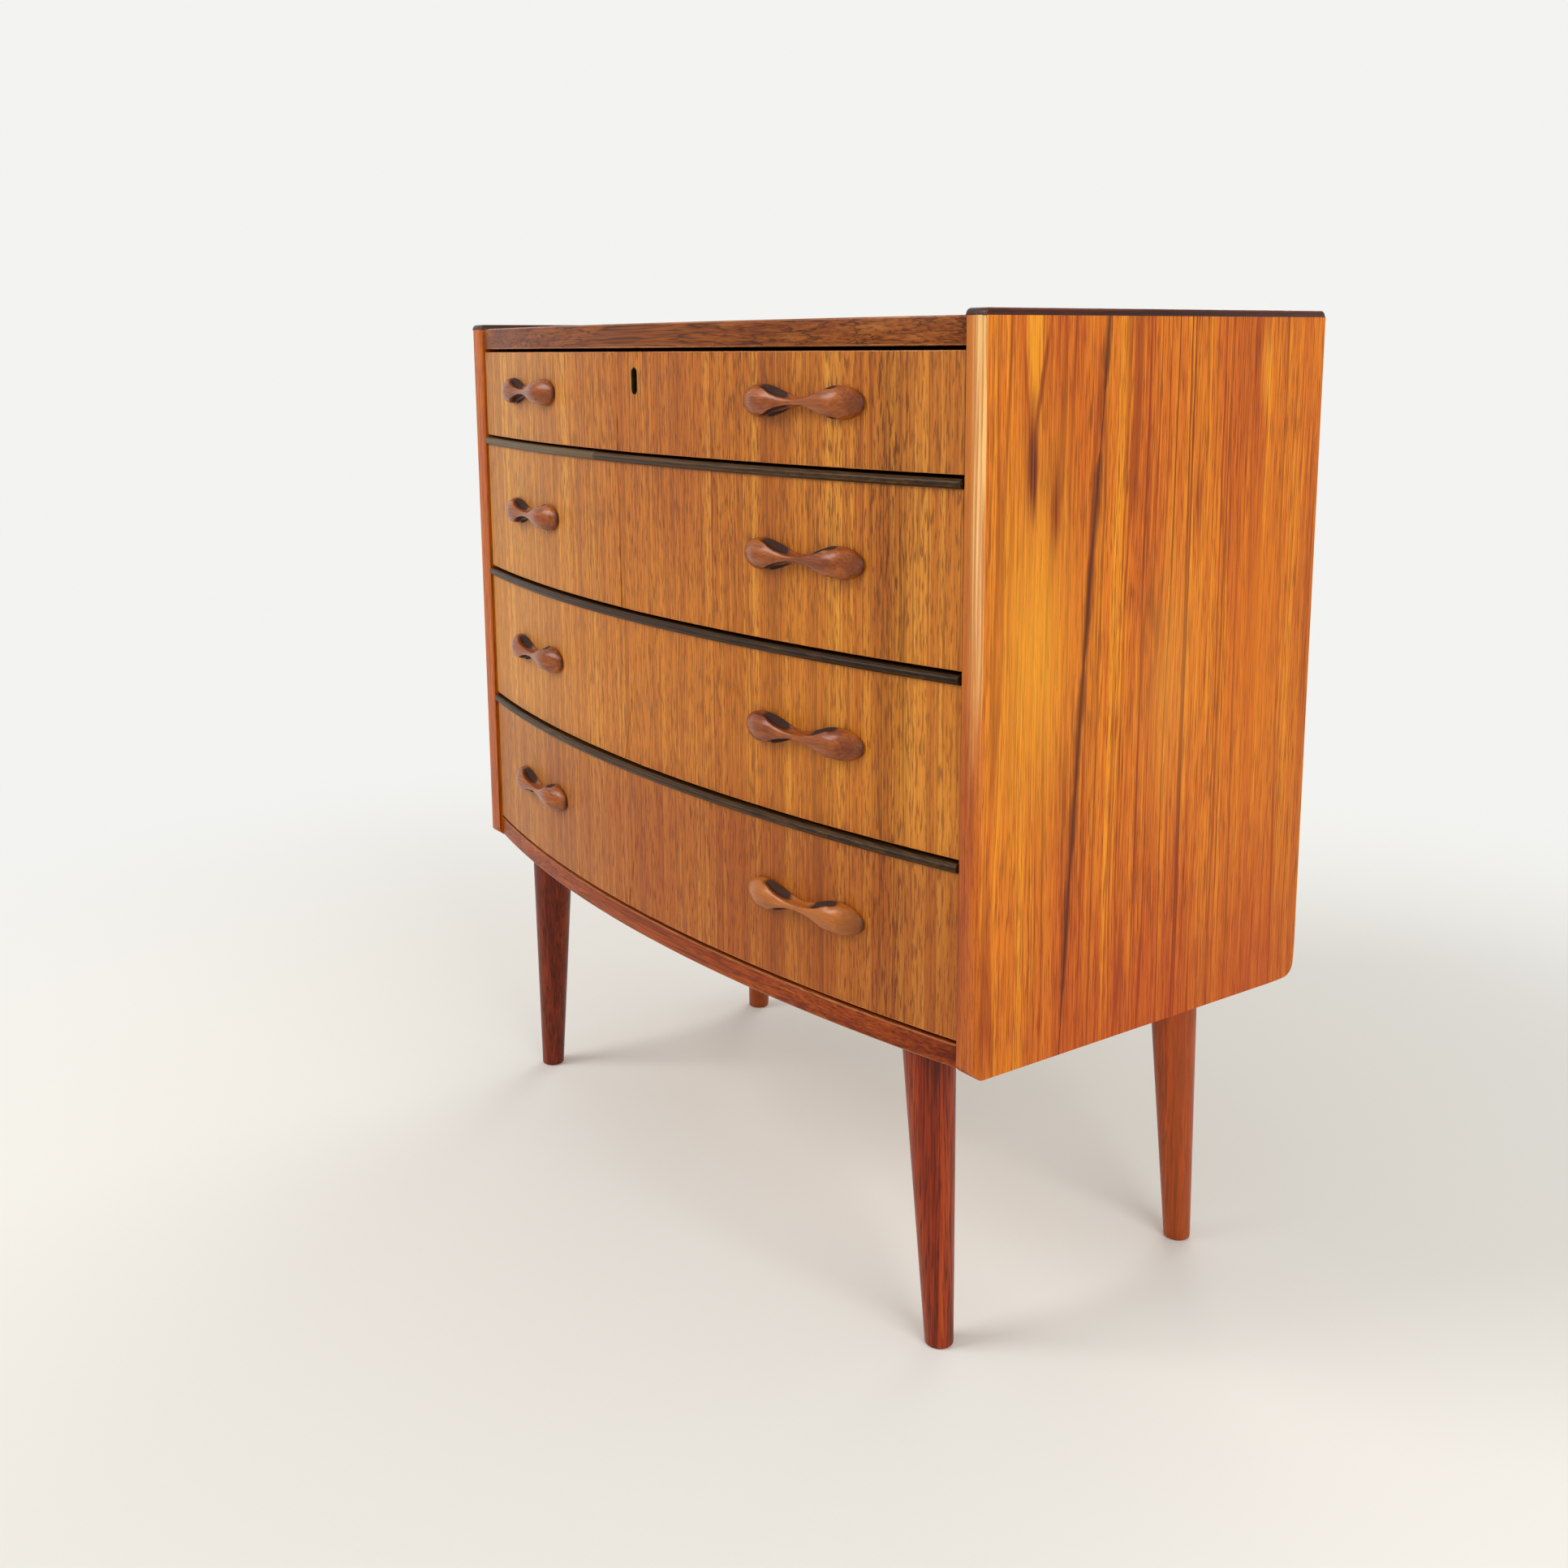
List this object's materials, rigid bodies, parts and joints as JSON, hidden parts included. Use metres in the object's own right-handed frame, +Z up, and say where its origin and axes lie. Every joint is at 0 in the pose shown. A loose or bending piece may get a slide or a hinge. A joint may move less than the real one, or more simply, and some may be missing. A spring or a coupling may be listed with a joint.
{
  "type": "bow front chest of drawers",
  "caption": "Teak chest of drawers with a bowed front, dark beads between the drawers, carved bow-tie handles, a lock in the top drawer and splayed tapered legs",
  "frame": {"origin": "on the floor, under the middle of the chest's overall box", "axes": "+X to the right as one faces the drawers, +Y to the back, +Z up; the drawers open towards -Y"},
  "size_m": [0.78, 0.3968, 0.786],
  "materials": {
    "side_veneer": "satin oiled teak veneer, upright figure",
    "front_veneer": "satin oiled teak veneer, upright grain",
    "teak_solid": "satin oiled solid teak",
    "teak_leg": "satin oiled turned teak",
    "teak_handle": "satin oiled carved teak",
    "dark_bead": "satin dark stained hardwood",
    "drawer_wood": "plain sanded beech",
    "plywood": "plain thin plywood",
    "steel": "plain steel",
    "brass": "pale brass"
  },
  "bodies": {
    "carcass": {"side_panel_left": "side_veneer", "side_front_lipping_left": "teak_solid", "side_top_lipping_left": "dark_bead", "side_panel_right": "side_veneer", "side_front_lipping_right": "teak_solid", "side_top_lipping_right": "dark_bead", "top_panel": "side_veneer", "top_front_rail": "teak_solid", "bottom_panel": "plywood", "bottom_front_rail": "teak_solid", "back_panel": "plywood", "leg_front_left": "teak_leg", "leg_front_right": "teak_leg", "leg_rear_left": "teak_leg", "leg_rear_right": "teak_leg", "leg_bolts": "steel", "runners_left": "drawer_wood", "runners_right": "drawer_wood"},
    "drawer_1": {"drawer_1_front": "front_veneer", "drawer_1_side_left": "drawer_wood", "drawer_1_side_right": "drawer_wood", "drawer_1_back": "drawer_wood", "drawer_1_bottom": "plywood", "drawer_1_handle_left": "teak_handle", "drawer_1_handle_right": "teak_handle", "lock_case": "steel", "keyhole_liner": "brass"},
    "drawer_2": {"drawer_2_front": "front_veneer", "drawer_2_side_left": "drawer_wood", "drawer_2_side_right": "drawer_wood", "drawer_2_back": "drawer_wood", "drawer_2_bottom": "plywood", "drawer_2_handle_left": "teak_handle", "drawer_2_handle_right": "teak_handle", "drawer_2_bead": "dark_bead"},
    "drawer_3": {"drawer_3_front": "front_veneer", "drawer_3_side_left": "drawer_wood", "drawer_3_side_right": "drawer_wood", "drawer_3_back": "drawer_wood", "drawer_3_bottom": "plywood", "drawer_3_handle_left": "teak_handle", "drawer_3_handle_right": "teak_handle", "drawer_3_bead": "dark_bead"},
    "drawer_4": {"drawer_4_front": "front_veneer", "drawer_4_side_left": "drawer_wood", "drawer_4_side_right": "drawer_wood", "drawer_4_back": "drawer_wood", "drawer_4_bottom": "plywood", "drawer_4_handle_left": "teak_handle", "drawer_4_handle_right": "teak_handle", "drawer_4_bead": "dark_bead"},
    "lock_bolt": {"lock_bolt": "steel"}
  },
  "joints": [
    {"name": "drawer_1_slide", "type": "slide", "parent": "carcass", "child": "drawer_1", "axis": [0, -1, 0], "range_m": [0, 0.22]},
    {"name": "drawer_2_slide", "type": "slide", "parent": "carcass", "child": "drawer_2", "axis": [0, -1, 0], "range_m": [0, 0.22]},
    {"name": "drawer_3_slide", "type": "slide", "parent": "carcass", "child": "drawer_3", "axis": [0, -1, 0], "range_m": [0, 0.22]},
    {"name": "drawer_4_slide", "type": "slide", "parent": "carcass", "child": "drawer_4", "axis": [0, -1, 0], "range_m": [0, 0.22]},
    {"name": "lock_bolt_slide", "type": "slide", "parent": "drawer_1", "child": "lock_bolt", "axis": [0, 0, 1], "range_m": [0, 0.01]}
  ]
}
